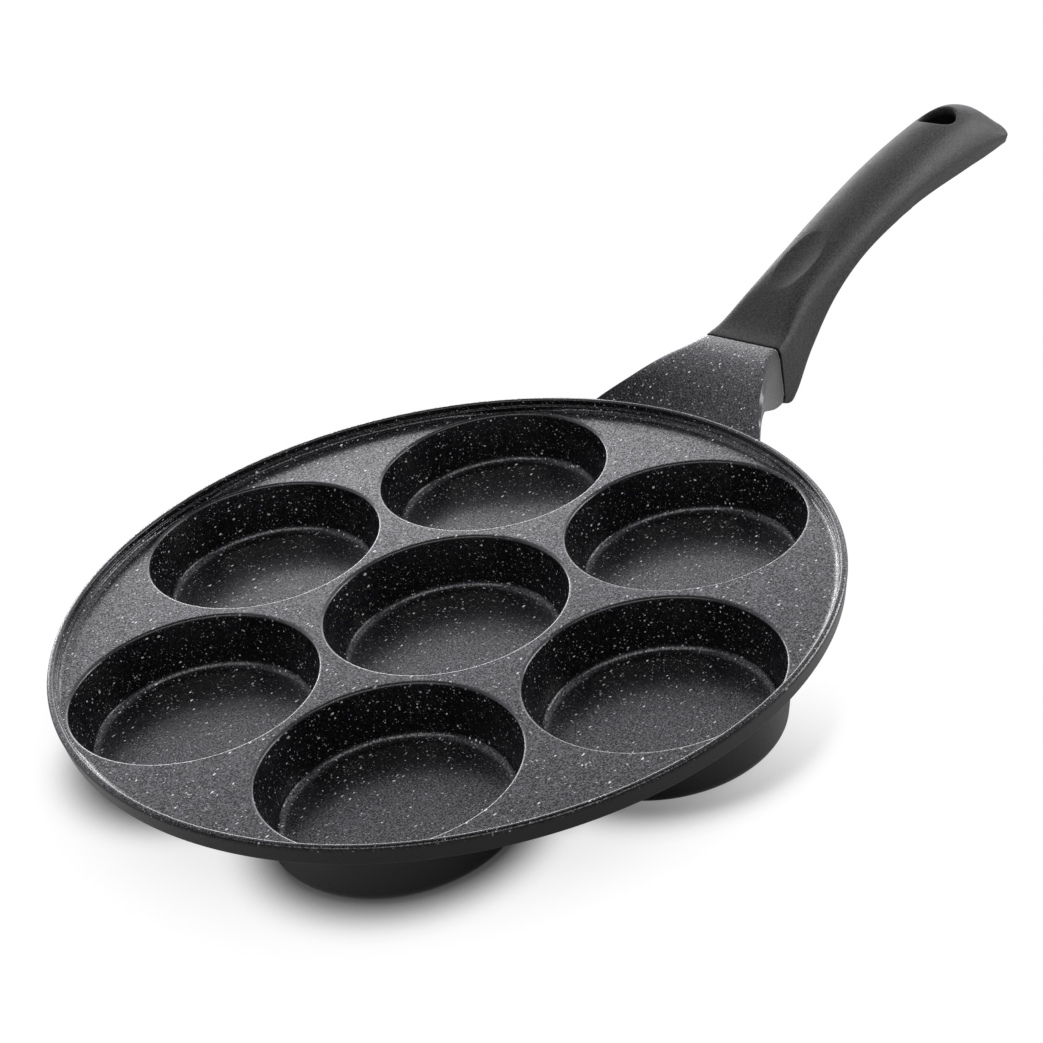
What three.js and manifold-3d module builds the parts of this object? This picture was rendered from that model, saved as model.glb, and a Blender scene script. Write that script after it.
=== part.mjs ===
// Egg pan: a cast pan with seven round cups and a moulded handle held by one screw.
// Millimetres, +Z up, +X along the handle. The origin is the middle of the centre cup's base,
// on the surface that the pan stands on.

import * as THREE from 'three';
import { mergeVertices } from 'three/addons/utils/BufferGeometryUtils.js';
import Module from 'manifold-3d';

const wasm = await Module();
wasm.setup();

// Plate and stepped rim
const RIM_RADIUS = 132.5;
const RIM_DRAFT = 0.9;
const RIM_CHAMFER = 0.6;
const LIP_WIDTH = 2.3;
const LIP_HEIGHT = 4.4;
const LEDGE_WIDTH = 0.8;
const LEDGE_HEIGHT = 1.9;
const PLATE_THICKNESS = 2.6;

// Cups: one in the middle and a ring around it, as large as the rim leaves room for
const RING_CUPS = 6;
const RIM_MARGIN = 0.4;
const CUP_WEB = 3.6;
const CUP_DEPTH = 18.5;
const CUP_TAPER = 3.4;
const MOUTH_ROUND = 1.2;
const FLOOR_FILLET = 5;
const CUP_WALL = 2.2;
const CUP_BASE = 3.5;
const BASE_FILLET = 5.5;

// Stem: grows out of the rim and ends in the face that the handle butts on
const STEM_REACH = 39.5;
const SEAM_HALF_WIDTH = 17.2;
const SEAM_TOP = 13.4;
const SEAM_DROP = 9.7;
const SEAM_SQUARENESS = 16;
const STEM_ROOT_HALF_WIDTH = 40;
const STEM_ROOT_OVERLAP = 1;
const STEM_ROOT_STEP = 2.1;
const STEM_FLARE_POWER = 1.7;
const STEM_RISE_POWER = 2;
const STEM_DEEPENS_FROM = 0.17;
const STEM_DEEPENS_TO = 1;

// Tongue of the stem inside the handle, sloping up with it
const TONGUE_LENGTH = 20;
const TONGUE_WIDTH = 16;
const TONGUE_HEIGHT = 10;
const TONGUE_RISE = THREE.MathUtils.degToRad(20);
const TONGUE_ROOT = 4;

// Clearances
const SEAM_GAP = 0.35;
const FIT = 0.3;
const WELL_CLEARANCE = 0.8;

// Screw and washer, square to the tongue
const SCREW_ALONG = 10.5;
const SCREW_RADIUS = 2.5;
const SCREW_SEAT = 10.2;
const SCREW_TIP = 4;
const HEAD_RADIUS = 4.3;
const HEAD_HEIGHT = 3;
const HEX_RADIUS = 2.3;
const HEX_DEPTH = 1.8;
const HEX_SIDES = 6;
const WASHER_RADIUS = 4.2;
const WASHER_THICKNESS = 1.2;
const WELL_LENGTH = 24;

// Handle. Each station behind the seam has its place as a share of the length, its half width as a
// share of the widest, and the heights over the plate of its top, its widest line and its underside
// as shares of the rise
const GRIP_LENGTH = 173;
const GRIP_HALF_WIDTH = 14.4;
const GRIP_RISE = 47;
const GRIP_SHARES = [
  { along: 0.052, half: 1.125, top: 0.362, side: 0.043, under: -0.285 },
  { along: 0.1445, half: 0.972, top: 0.5, side: 0.187, under: -0.04 },
  { along: 0.26, half: 0.931, top: 0.647, side: 0.404, under: 0.251 },
  { along: 0.4046, half: 0.931, top: 0.783, side: 0.574, under: 0.436 },
  { along: 0.607, half: 0.972, top: 0.928, side: 0.681, under: 0.515 },
  { along: 0.8092, half: 1, top: 1, side: 0.677, under: 0.502 },
  { along: 0.9075, half: 0.979, top: 0.93, side: 0.635, under: 0.485 },
  { along: 1, half: 0.931, top: 0.645, side: 0.585, under: 0.479 },
];
const NOSE_BOW = 5;
const BOW_POWER = 3;
const CROWN_POWER = 2.05;
const FOOT_POWER = 4;
const CROWN_EASE = 16;
const FOOT_EASE = 10;

// Slope of the chamfer under the handle's widest line, steep at the seam and flatter towards the end
const CHAMFER_FROM = 0.25;
const CHAMFER_TO = 0.6;
const CHAMFER_STEEP = 40;
const CHAMFER_FLAT = 5;

// Thumb dimple and hanging hole in the handle
const DIMPLE_ALONG = 40.5;
const DIMPLE_LENGTH = 31;
const DIMPLE_WIDTH = 14;
const DIMPLE_DEPTH = 1.5;
const DIMPLE_SPREAD = 0.8;
const HOLE_INSET = 33;
const HOLE_RADIUS = 7.4;

// Facet counts
const RIM_FACETS = 72;
const CUP_FACETS = 32;
const SCREW_FACETS = 20;
const FILLET_STEPS = 3;
const STEM_STEPS = 10;
const GRIP_STEPS = 3;
const SECTION_POINTS = 28;

// How far a cutting tool reaches past the surface that it cuts
const OVERCUT = 2;

// Corners closer than this are one corner
const MERGE_DISTANCE = 1e-4;

// Steps of the search for a place along the handle
const HALVINGS = 40;

const plateTop = CUP_DEPTH + CUP_BASE;
const plateUnder = plateTop - PLATE_THICKNESS;
const lipInside = RIM_RADIUS - LIP_WIDTH;
const ledgeInside = lipInside - LEDGE_WIDTH;

// From the pan's middle to the ledge there are three cup radii and one web
const edgeRadius = (ledgeInside - RIM_MARGIN - CUP_WEB) / 3;
const mouthRadius = edgeRadius - MOUTH_ROUND;
const floorRadius = mouthRadius - CUP_TAPER;
const cupPitch = 2 * edgeRadius + CUP_WEB;
const cupSlope = CUP_TAPER / CUP_DEPTH;

const seamDistance = RIM_RADIUS + STEM_REACH;
const seamMiddle = (SEAM_TOP - SEAM_DROP) / 2;
const holeAlong = GRIP_LENGTH - HOLE_INSET;
const gripStations = [
  { along: 0, half: SEAM_HALF_WIDTH, top: SEAM_TOP, side: seamMiddle, under: -SEAM_DROP },
  ...GRIP_SHARES.map(({ along, half, top, side, under }) => ({
    along: along * GRIP_LENGTH,
    half: half * GRIP_HALF_WIDTH,
    top: top * GRIP_RISE,
    side: side * GRIP_RISE,
    under: under * GRIP_RISE,
  })),
];

// A closed solid made from a geometry whose shared corners are merged
function solidOf(geometry) {
  const bare = geometry.clone();
  bare.deleteAttribute('normal');
  bare.deleteAttribute('uv');
  const merged = mergeVertices(bare, MERGE_DISTANCE);
  return new wasm.Manifold(new wasm.Mesh({
    numProp: 3,
    vertProperties: new Float32Array(merged.attributes.position.array),
    triVerts: new Uint32Array(merged.index.array),
  }));
}

function geometryOf(solid) {
  const mesh = solid.getMesh();
  const geometry = new THREE.BufferGeometry();
  geometry.setAttribute('position', new THREE.BufferAttribute(mesh.vertProperties, 3));
  geometry.setIndex(new THREE.BufferAttribute(mesh.triVerts, 1));
  geometry.computeVertexNormals();
  return geometry;
}

// A profile of [radius, height] pairs, from the axis at the bottom to the axis at the top, turned about Z
function turned(profile, facets) {
  const points = profile.map(([radius, height]) => new THREE.Vector2(radius, height));
  const geometry = new THREE.LatheGeometry(points, facets);
  geometry.rotateX(Math.PI / 2);
  return geometry;
}

function arc(centreRadius, centreHeight, radius, fromAngle, toAngle) {
  const points = [];
  for (let i = 0; i <= FILLET_STEPS; i++) {
    const angle = THREE.MathUtils.lerp(fromAngle, toAngle, i / FILLET_STEPS);
    points.push([centreRadius + radius * Math.cos(angle), centreHeight + radius * Math.sin(angle)]);
  }
  return points;
}

// Rings of corners joined side to side, with a fan of triangles over each end
function lofted(rings) {
  const count = rings[0].length;
  const ends = [rings[0], rings[rings.length - 1]];
  const middles = ends.map((ring) => {
    const sum = ring.reduce((total, point) => total.add(point), new THREE.Vector3());
    return sum.divideScalar(count);
  });
  const corners = [...rings.flat(), ...middles];
  const firstMiddle = rings.length * count;
  const lastRing = (rings.length - 1) * count;
  const index = [];
  for (let i = 0; i < count; i++) {
    const next = (i + 1) % count;
    for (let ring = 0; ring < rings.length - 1; ring++) {
      const low = ring * count;
      const high = low + count;
      index.push(low + i, low + next, high + i);
      index.push(low + next, high + next, high + i);
    }
    index.push(firstMiddle, next, i);
    index.push(firstMiddle + 1, lastRing + i, lastRing + next);
  }
  const geometry = new THREE.BufferGeometry().setFromPoints(corners);
  geometry.setIndex(index);
  return geometry;
}

// A section across X: a rounded crown over the widest line and a squarer, chamfered foot under it
function section({ x, half, top, side, under, crown, foot, bow, chamfer = Infinity }) {
  const ring = [];
  for (let i = 0; i < SECTION_POINTS; i++) {
    const angle = (2 * Math.PI * i) / SECTION_POINTS;
    const across = Math.cos(angle);
    const upward = Math.sin(angle);
    const power = 2 / (upward >= 0 ? crown : foot);
    const reach = upward >= 0 ? top - side : side - under;
    const rise = Math.sign(upward) * Math.abs(upward) ** power;
    const widest = upward >= 0 ? 1 : 1 + rise / chamfer;
    const share = Math.sign(across) * Math.min(Math.abs(across) ** power, widest);
    const z = plateTop + side + reach * rise;
    ring.push(new THREE.Vector3(x + bow * (1 - share * share), half * share, z));
  }
  return ring;
}

// The casting
function plateAndRim() {
  const foot = RIM_RADIUS - RIM_DRAFT;
  const lipTop = plateTop + LIP_HEIGHT;
  const ledgeTop = plateTop + LEDGE_HEIGHT;
  return turned([
    [0, plateUnder],
    [foot - RIM_CHAMFER, plateUnder],
    [foot, plateUnder + RIM_CHAMFER],
    [RIM_RADIUS, lipTop - RIM_CHAMFER],
    [RIM_RADIUS - RIM_CHAMFER, lipTop],
    [lipInside + RIM_CHAMFER, lipTop],
    [lipInside, lipTop - RIM_CHAMFER],
    [lipInside, ledgeTop],
    [ledgeInside, ledgeTop],
    [ledgeInside, plateTop],
    [0, plateTop],
  ], RIM_FACETS);
}

function cupOutside() {
  const baseRadius = floorRadius + CUP_WALL - cupSlope * CUP_BASE;
  const wallAt = (height) => baseRadius + cupSlope * height;
  const joinHeight = plateUnder + PLATE_THICKNESS / 2;
  return turned([
    [0, 0],
    ...arc(wallAt(BASE_FILLET) - BASE_FILLET, BASE_FILLET, BASE_FILLET, -Math.PI / 2, 0),
    [wallAt(joinHeight), joinHeight],
    [0, joinHeight],
  ], CUP_FACETS);
}

function cupInside() {
  const filletCentre = floorRadius + cupSlope * FLOOR_FILLET - FLOOR_FILLET;
  return turned([
    [0, CUP_BASE],
    ...arc(filletCentre, CUP_BASE + FLOOR_FILLET, FLOOR_FILLET, -Math.PI / 2, 0),
    ...arc(edgeRadius, plateTop - MOUTH_ROUND, MOUTH_ROUND, Math.PI, Math.PI / 2),
    [edgeRadius, plateTop + OVERCUT],
    [0, plateTop + OVERCUT],
  ], CUP_FACETS);
}

function cupPlaces() {
  const places = [new THREE.Vector3()];
  const firstAngle = Math.PI / RING_CUPS;
  for (let i = 0; i < RING_CUPS; i++) {
    const angle = firstAngle + (2 * Math.PI * i) / RING_CUPS;
    places.push(new THREE.Vector3(cupPitch * Math.cos(angle), cupPitch * Math.sin(angle), 0));
  }
  return places;
}

// The stem's first section is bowed to follow the rim, and its last one is flat
function stem() {
  const rootTop = LIP_HEIGHT - STEM_ROOT_STEP;
  const rootRadius = RIM_RADIUS - LIP_WIDTH / 2 - STEM_ROOT_OVERLAP;
  const rootSide = Math.sqrt(rootRadius ** 2 - STEM_ROOT_HALF_WIDTH ** 2);
  const rings = [];
  for (let i = 0; i <= STEM_STEPS; i++) {
    const share = i / STEM_STEPS;
    const flare = (1 - share) ** STEM_FLARE_POWER;
    const top = THREE.MathUtils.lerp(SEAM_TOP, rootTop, (1 - share) ** STEM_RISE_POWER);
    const deeper = THREE.MathUtils.smoothstep(share, STEM_DEEPENS_FROM, STEM_DEEPENS_TO);
    const under = top - THREE.MathUtils.lerp(rootTop + PLATE_THICKNESS, SEAM_TOP + SEAM_DROP, deeper);
    rings.push(section({
      x: THREE.MathUtils.lerp(rootSide, seamDistance, share),
      half: THREE.MathUtils.lerp(SEAM_HALF_WIDTH, STEM_ROOT_HALF_WIDTH, flare),
      top,
      side: (top + under) / 2,
      under,
      crown: SEAM_SQUARENESS,
      foot: SEAM_SQUARENESS,
      bow: (rootRadius - rootSide) * (1 - share),
    }));
  }
  return lofted(rings);
}

// Everything inside the middle of the lip, so that the stem joins the rim and leaves the plate clear
function insideOfRim() {
  const height = 2 * (SEAM_TOP + SEAM_DROP);
  const radius = RIM_RADIUS - LIP_WIDTH / 2;
  const core = new THREE.CylinderGeometry(radius, radius, height, RIM_FACETS);
  core.rotateX(Math.PI / 2);
  core.translate(0, 0, plateTop);
  return core;
}

// From the tongue's own axes, along X and square to its top, to the pan's axes
function onTongue(geometry) {
  geometry.rotateY(-TONGUE_RISE);
  geometry.translate(seamDistance, 0, plateTop + seamMiddle);
  return geometry;
}

function tongue(clearance) {
  const length = TONGUE_ROOT + TONGUE_LENGTH + clearance;
  const box = new THREE.BoxGeometry(length, TONGUE_WIDTH + 2 * clearance, TONGUE_HEIGHT + 2 * clearance);
  box.translate(length / 2 - TONGUE_ROOT, 0, 0);
  return onTongue(box);
}

function screwBar(radius, from, to) {
  const bar = new THREE.CylinderGeometry(radius, radius, to - from, SCREW_FACETS);
  bar.rotateX(Math.PI / 2);
  bar.translate(SCREW_ALONG, 0, (from + to) / 2);
  return onTongue(bar);
}

function panBody() {
  const outside = solidOf(cupOutside());
  const inside = solidOf(cupInside());
  let body = solidOf(plateAndRim());
  body = body.add(solidOf(stem()).subtract(solidOf(insideOfRim())));
  body = body.add(solidOf(tongue(0)));
  for (const place of cupPlaces()) {
    body = body.add(outside.translate(place.x, place.y, 0));
  }
  for (const place of cupPlaces()) {
    body = body.subtract(inside.translate(place.x, place.y, 0));
  }
  return body.subtract(solidOf(screwBar(SCREW_RADIUS + FIT, -TONGUE_HEIGHT, TONGUE_HEIGHT)));
}

// The handle
function catmullRom(before, from, to, after, share) {
  const slopeFrom = (to - before) / 2;
  const slopeTo = (after - from) / 2;
  const cubic = 2 * from - 2 * to + slopeFrom + slopeTo;
  const square = -3 * from + 3 * to - 2 * slopeFrom - slopeTo;
  return ((cubic * share + square) * share + slopeFrom) * share + from;
}

// A station between the named ones: a whole number is a named station
function stationAt(position) {
  const last = gripStations.length - 1;
  const index = Math.min(Math.floor(position), last - 1);
  const from = gripStations[index];
  const to = gripStations[index + 1];
  const station = {};
  for (const key of Object.keys(from)) {
    const before = index > 0 ? gripStations[index - 1][key] : 2 * from[key] - to[key];
    const after = index + 1 < last ? gripStations[index + 2][key] : 2 * to[key] - from[key];
    station[key] = catmullRom(before, from[key], to[key], after, position - index);
  }
  return station;
}

// The station at a distance from the seam, found by halving
function stationAlong(along) {
  let low = 0;
  let high = gripStations.length - 1;
  for (let i = 0; i < HALVINGS; i++) {
    const middle = (low + high) / 2;
    if (stationAt(middle).along < along) {
      low = middle;
    } else {
      high = middle;
    }
  }
  return stationAt(low);
}

function gripForm() {
  const steps = (gripStations.length - 1) * GRIP_STEPS;
  const squareCrown = SEAM_SQUARENESS - CROWN_POWER;
  const squareFoot = SEAM_SQUARENESS - FOOT_POWER;
  const rings = [];
  for (let i = 0; i <= steps; i++) {
    const station = stationAt(i / GRIP_STEPS);
    const flatter = THREE.MathUtils.smoothstep(station.along / GRIP_LENGTH, CHAMFER_FROM, CHAMFER_TO);
    rings.push(section({
      ...station,
      x: seamDistance + SEAM_GAP + station.along,
      crown: CROWN_POWER + squareCrown * Math.exp(-station.along / CROWN_EASE),
      foot: FOOT_POWER + squareFoot * Math.exp(-station.along / FOOT_EASE),
      bow: NOSE_BOW * (station.along / GRIP_LENGTH) ** BOW_POWER,
      chamfer: THREE.MathUtils.lerp(CHAMFER_STEEP, CHAMFER_FLAT, flatter),
    }));
  }
  return lofted(rings);
}

// A shallow lens sunk into the top, along the slope that the top has there
function thumbDimple() {
  const behind = stationAlong(DIMPLE_ALONG - DIMPLE_LENGTH / 2);
  const ahead = stationAlong(DIMPLE_ALONG + DIMPLE_LENGTH / 2);
  const slope = Math.atan2(ahead.top - behind.top, ahead.along - behind.along);
  const lift = Math.sqrt(1 - DIMPLE_SPREAD ** 2);
  const thickness = DIMPLE_DEPTH / (1 - lift);
  const lens = new THREE.SphereGeometry(1, SCREW_FACETS, SCREW_FACETS / 2);
  lens.rotateX(Math.PI / 2);
  lens.scale(DIMPLE_LENGTH / 2 / DIMPLE_SPREAD, DIMPLE_WIDTH / 2 / DIMPLE_SPREAD, thickness);
  lens.translate(0, 0, lift * thickness);
  lens.rotateY(-slope);
  const top = stationAlong(DIMPLE_ALONG).top;
  lens.translate(seamDistance + SEAM_GAP + DIMPLE_ALONG, 0, plateTop + top);
  return lens;
}

function hangingHole() {
  const { top, under } = stationAlong(holeAlong);
  const length = top - under + 2 * OVERCUT;
  const bar = new THREE.CylinderGeometry(HOLE_RADIUS, HOLE_RADIUS, length, CUP_FACETS);
  bar.rotateX(Math.PI / 2);
  bar.translate(seamDistance + SEAM_GAP + holeAlong, 0, plateTop + (top + under) / 2);
  return bar;
}

function handleGrip() {
  const cuts = [
    tongue(FIT),
    screwBar(SCREW_RADIUS + FIT, -SCREW_SEAT - OVERCUT, 0),
    screwBar(HEAD_RADIUS + WELL_CLEARANCE, -SCREW_SEAT - WELL_LENGTH, -SCREW_SEAT),
    thumbDimple(),
    hangingHole(),
  ];
  return cuts.reduce((grip, cut) => grip.subtract(solidOf(cut)), solidOf(gripForm()));
}

// The fastening
function lockWasher() {
  const top = -SCREW_SEAT - FIT;
  const ring = solidOf(screwBar(WASHER_RADIUS, top - WASHER_THICKNESS, top));
  return ring.subtract(solidOf(screwBar(SCREW_RADIUS + FIT, top - 2 * WASHER_THICKNESS, 0)));
}

function handleScrew() {
  const headTop = -SCREW_SEAT - WASHER_THICKNESS - 2 * FIT;
  const headBottom = headTop - HEAD_HEIGHT;
  const socket = new THREE.CylinderGeometry(HEX_RADIUS, HEX_RADIUS, 2 * HEX_DEPTH, HEX_SIDES);
  socket.rotateX(Math.PI / 2);
  socket.translate(SCREW_ALONG, 0, headBottom);
  const head = solidOf(screwBar(HEAD_RADIUS, headBottom, headTop));
  const shank = solidOf(screwBar(SCREW_RADIUS, headTop - HEAD_HEIGHT / 2, SCREW_TIP));
  return head.add(shank).subtract(solidOf(onTongue(socket)));
}

const coatedCasting = new THREE.MeshStandardMaterial({ color: 0x4a4a4d, roughness: 0.45, metalness: 0.1 });
const phenolic = new THREE.MeshStandardMaterial({ color: 0x3d3c3d, roughness: 0.6, metalness: 0 });
const platedSteel = new THREE.MeshStandardMaterial({ color: 0xa9adb2, roughness: 0.35, metalness: 1 });

const eggPan = new THREE.Group();
const pieces = [
  ['pan_body', panBody, coatedCasting],
  ['handle_grip', handleGrip, phenolic],
  ['handle_screw', handleScrew, platedSteel],
  ['lock_washer', lockWasher, platedSteel],
];
for (const [name, make, material] of pieces) {
  const piece = new THREE.Mesh(geometryOf(make()), material);
  piece.name = name;
  eggPan.add(piece);
}

export default eggPan;
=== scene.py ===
import math

import bmesh
import bpy
from bpy.props import FloatProperty, FloatVectorProperty, PointerProperty
from mathutils import Matrix, Vector
from mathutils.geometry import tessellate_polygon


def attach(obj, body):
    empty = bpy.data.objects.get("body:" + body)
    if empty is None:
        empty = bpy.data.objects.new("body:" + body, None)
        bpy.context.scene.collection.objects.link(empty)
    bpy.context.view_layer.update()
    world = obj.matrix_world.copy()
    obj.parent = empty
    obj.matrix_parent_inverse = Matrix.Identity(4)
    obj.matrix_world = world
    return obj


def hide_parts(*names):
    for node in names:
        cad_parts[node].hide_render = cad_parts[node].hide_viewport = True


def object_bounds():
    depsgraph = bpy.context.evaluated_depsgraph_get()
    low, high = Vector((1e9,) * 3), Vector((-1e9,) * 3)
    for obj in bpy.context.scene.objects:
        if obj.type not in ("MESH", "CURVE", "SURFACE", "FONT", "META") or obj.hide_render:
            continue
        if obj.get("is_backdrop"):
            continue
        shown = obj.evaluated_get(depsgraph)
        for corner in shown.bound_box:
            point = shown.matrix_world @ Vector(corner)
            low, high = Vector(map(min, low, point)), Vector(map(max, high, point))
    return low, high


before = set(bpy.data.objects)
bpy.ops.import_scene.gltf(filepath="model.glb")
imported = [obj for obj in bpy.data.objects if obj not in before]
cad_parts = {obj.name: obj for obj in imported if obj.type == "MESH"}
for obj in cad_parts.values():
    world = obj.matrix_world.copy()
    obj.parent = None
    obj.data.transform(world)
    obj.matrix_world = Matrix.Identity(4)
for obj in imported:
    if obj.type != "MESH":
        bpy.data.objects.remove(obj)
cad_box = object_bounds()

bl_info = {
    "name": "Egg Pan",
    "version": (1, 0, 0),
    "blender": (4, 5, 0),
    "location": "View3D > Sidebar > Egg Pan",
    "description": "Builds a seven-cup egg pan with its handle, and a plain white studio for it",
    "category": "Add Mesh",
}

MM = 0.001

# How finely the pieces are divided
RIM_COLUMNS = 384
STEM_COLUMNS = 18
STEM_BLEND_COLUMNS = 5
STEM_ROWS = 44
WALL_ROWS = 8
CUP_COLUMNS = 128
CUP_FLOOR_RINGS = (0.66, 0.33, 0.08)
CUP_BASE_RINGS = (0.5, 0.08)
ARC_STEPS = 6
SMALL_ARC_STEPS = 3
FOOT_STEPS = 4
BASE_STEPS = 8
FLOOR_STEPS = 10
GRIP_PITCH = 0.8 * MM
GRIP_ACROSS = 48
GRIP_SIDE = 12
NOSE_STEPS = 7
HOLE_ROWS = 8
PATCH_SHARES = (0.35, 0.7)
HALVINGS = 40
SHARP_ANGLE = math.radians(38)

# Small shapes of the casting
RING_CUPS = 6
SUPPORT = 0.12 * MM
COVE_LEAST = 0.2 * MM
COVE_MOST = 2.1 * MM
COVE_FROM = math.radians(4)
COVE_TO = math.radians(12)
LEDGE_ROUND = 0.35 * MM
LEDGE_FILLET = 0.3 * MM
LIP_ROUND = 0.75 * MM
LIP_EDGE_ROUND = 1.3 * MM
FOOT_ROUND = 0.7 * MM
UNDER_FILLET = 0.8 * MM
EDGE_BEVEL = 0.35 * MM
SEAM_SQUARENESS = 16
SEAM_FOOT_SQUARENESS = 11
STEM_STEP_ROWS = 2
STEM_FLARE_POWER = 1.27
STEM_RISE_POWER = 2.3
STEM_DEEPENS = (0.17, 1.0)
STEM_SQUARE_UNTIL = 0.35

# How much of the flecked coating lies on rounded edges, and how far it reaches across the stem
EDGE_COAT = 0.4
STEM_COAT_ACROSS = 0.97

# Tongue of the stem, its socket in the handle and the screw's well
SEAM_GAP = 0.35 * MM
FIT = 0.3 * MM
TONGUE_RISE = math.radians(20)
TONGUE_LENGTH = 20 * MM
TONGUE_WIDTH = 16 * MM
TONGUE_HEIGHT = 10 * MM
SCREW_ALONG = 10.5 * MM
SCREW_SEAT = 10.2 * MM
BORE_RADIUS = 2.8 * MM
BORE_END = 6.5 * MM
WELL_RADIUS = 5.1 * MM
WELL_ROUND = 0.5 * MM

# Handle's form: place along, half width, and heights of top, widest line and underside,
# each as a share of the handle's length, half width or rise
GRIP_SHARES = (
    (0.052, 1.11, 0.336, 0.043, -0.285),
    (0.1445, 0.972, 0.5, 0.187, -0.04),
    (0.26, 0.931, 0.647, 0.404, 0.251),
    (0.4046, 0.931, 0.783, 0.574, 0.436),
    (0.607, 0.972, 0.928, 0.681, 0.515),
    (0.8092, 1.0, 1.0, 0.677, 0.502),
    (0.9075, 0.979, 0.93, 0.635, 0.485),
    (1.0, 0.931, 0.645, 0.585, 0.479),
)
NOSE_BOW = 5 * MM
NOSE_ROUND = 0.5 * MM
BOW_POWER = 3
CROWN_POWER = 2.05
FOOT_POWER = 4
CHAMFER_FROM = 0.25
CHAMFER_TO = 0.6
CHAMFER_SLOPES = (40, 5)
CROWN_EASE = 16 * MM
FOOT_EASE = 10 * MM
HOLE_ROUND = 1.2 * MM
HOLE_BLOCK = 10.6 * MM
HOLE_SKIP = 2
WELL_BLOCK = (6 * MM, 25 * MM)
WELL_SKIP = 9
# How far from the seam the handle is painted near black: painted shade standing in for the shadow in the
# seam's gap
SEAM_PAINTED_SHADE = 0.5 * MM

# Flecks of the coating, layer by layer: cell, stretch, smallest and largest radius as shares of the cell,
# share of the cells that hold a fleck, and brightness
FLECK_LAYERS = (
    (0.6 * MM, (1, 1, 1), 0.1, 0.36, 0.5, 0.2),
    (1.1 * MM, (1, 0.5, 1), 0.08, 0.25, 0.75, 0.5),
    (1.7 * MM, (0.5, 1, 1), 0.07, 0.2, 0.9, 0.9),
)
FLECK_RARITY = 2.5
FLECK_EDGE = 0.03
FLECK_DULLEST = 0.45
RAGGED_SIZE = 0.5 * MM
RAGGED_REACH = 0.6 * MM

# Grain of the finishes: sizes of the noise, and the part of it that goes from dark to light
COAT_GRAIN = 0.6 * MM
COAT_GRAIN_STEP = (0.4, 0.6)
COAT_DRIFT = 9 * MM
HANDLE_GRAIN = 0.8 * MM
HANDLE_GRAIN_STEP = (0.3, 0.7)
HANDLE_CLOUD = 6 * MM
HANDLE_TONES = (0.4, 1.7)
# Painted shade: the near-black grey that the handle takes at the seam and inside the hanging hole
HANDLE_PAINTED_SHADE = 0.0005
STEEL_GRAIN = 0.25 * MM
STEEL_CLOUD = 2 * MM
STEEL_TONE = 0.8

# Floor: places along X where the table and the shadow change, and shares of open sky for the contact shadow
FLOOR_REACH = 4.0
TABLE_FADE = (0.06, 0.2)
SHADOW_FADE = (-0.07, 0.05)
CONTACT_REACH = (0.38, 1.0)
CONTACT_SHADE = 0.05
CONTACT_SAMPLES = 16

# Surroundings: heights of a direction, or its X and Y together, where they change
CEILING_FADE = (0.0, 0.9)
SKY_FADE = (0.76, 0.98)
BEHIND = (-0.5, 0.5)
CARD_BEFORE = (-0.45, -0.25)
CARD_BASE = (0.55, 0.62)
CARD_TOP = (0.84, 0.9)
PLAIN = (1.0, 1.0, 1.0)
COOL = (0.95, 0.935, 1.0)

# Lamps: name, place along X that it faces, turn about the upright and height over the horizon in degrees,
# distance, width and height
LAMPS = (
    ("back card", 0.0, 135, 17, 1.6, 2.4, 0.7),
    ("low strip", 0.0, 152, 8, 1.3, 1.1, 0.22),
    ("right card", 0.26, 48, 18, 0.6, 0.5, 0.35),
)
SENSOR_WIDTH = 36.0


def distance(name, description, millimetres):
    """A length that a user may change."""
    return FloatProperty(
        name=name, description=description, default=millimetres * MM, min=0.0,
        precision=4, subtype="DISTANCE", unit="LENGTH",
    )


def angle(name, description, degrees):
    """An angle that a user may change."""
    return FloatProperty(
        name=name, description=description, default=math.radians(degrees),
        subtype="ANGLE", unit="ROTATION",
    )


def colour(name, description, default):
    """A colour that a user may change."""
    return FloatVectorProperty(
        name=name, description=description, default=default, size=3,
        min=0.0, max=1.0, subtype="COLOR",
    )


def fraction(name, description, default):
    """A share from 0 to 1 that a user may change."""
    return FloatProperty(
        name=name, description=description, default=default, min=0.0, max=1.0, subtype="FACTOR",
    )


def brightness(name, description, default):
    """A brightness that a user may change."""
    return FloatProperty(name=name, description=description, default=default, min=0.0)


class EggPanCasting(bpy.types.PropertyGroup):
    """Sizes of the casting."""

    rim_radius: distance("Rim radius", "Outer radius of the rim", 132.5)
    rim_draft: distance("Rim draft", "How far the rim's wall leans in at its foot", 0.9)
    lip_width: distance("Lip width", "Width of the rim's lip", 2.3)
    lip_height: distance("Lip height", "Height of the lip over the plate", 4.4)
    ledge_width: distance("Ledge width", "Width of the step inside the lip", 0.8)
    ledge_height: distance("Ledge height", "Height of the step over the plate", 1.9)
    plate_thickness: distance("Plate thickness", "Thickness of the plate", 2.6)
    rim_margin: distance("Rim margin", "Flat left between a cup and the step", 0.4)
    cup_web: distance("Cup web", "Flat left between two cups", 2.4)
    cup_depth: distance("Cup depth", "Depth of a cup under the plate", 18.5)
    cup_taper: distance("Cup taper", "How far a cup narrows down to its floor", 3.4)
    cup_wall: distance("Cup wall", "Thickness of a cup's wall", 2.2)
    cup_base: distance("Cup base", "Thickness of a cup's base", 3.5)
    mouth_round: distance("Mouth round", "Rounding of a cup's edge", 1.2)
    floor_fillet: distance("Floor fillet", "Rounding between a cup's wall and floor", 3.2)
    base_fillet: distance("Base fillet", "Rounding of a cup's foot", 5.5)
    stem_reach: distance("Stem reach", "From the rim to the handle's seam", 39.5)
    seam_half_width: distance("Seam half width", "Half width of stem and handle at the seam", 17.2)
    seam_top: distance("Seam top", "Top of the seam over the plate", 13.4)
    seam_drop: distance("Seam drop", "Underside of the seam below the plate", 9.7)


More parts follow.
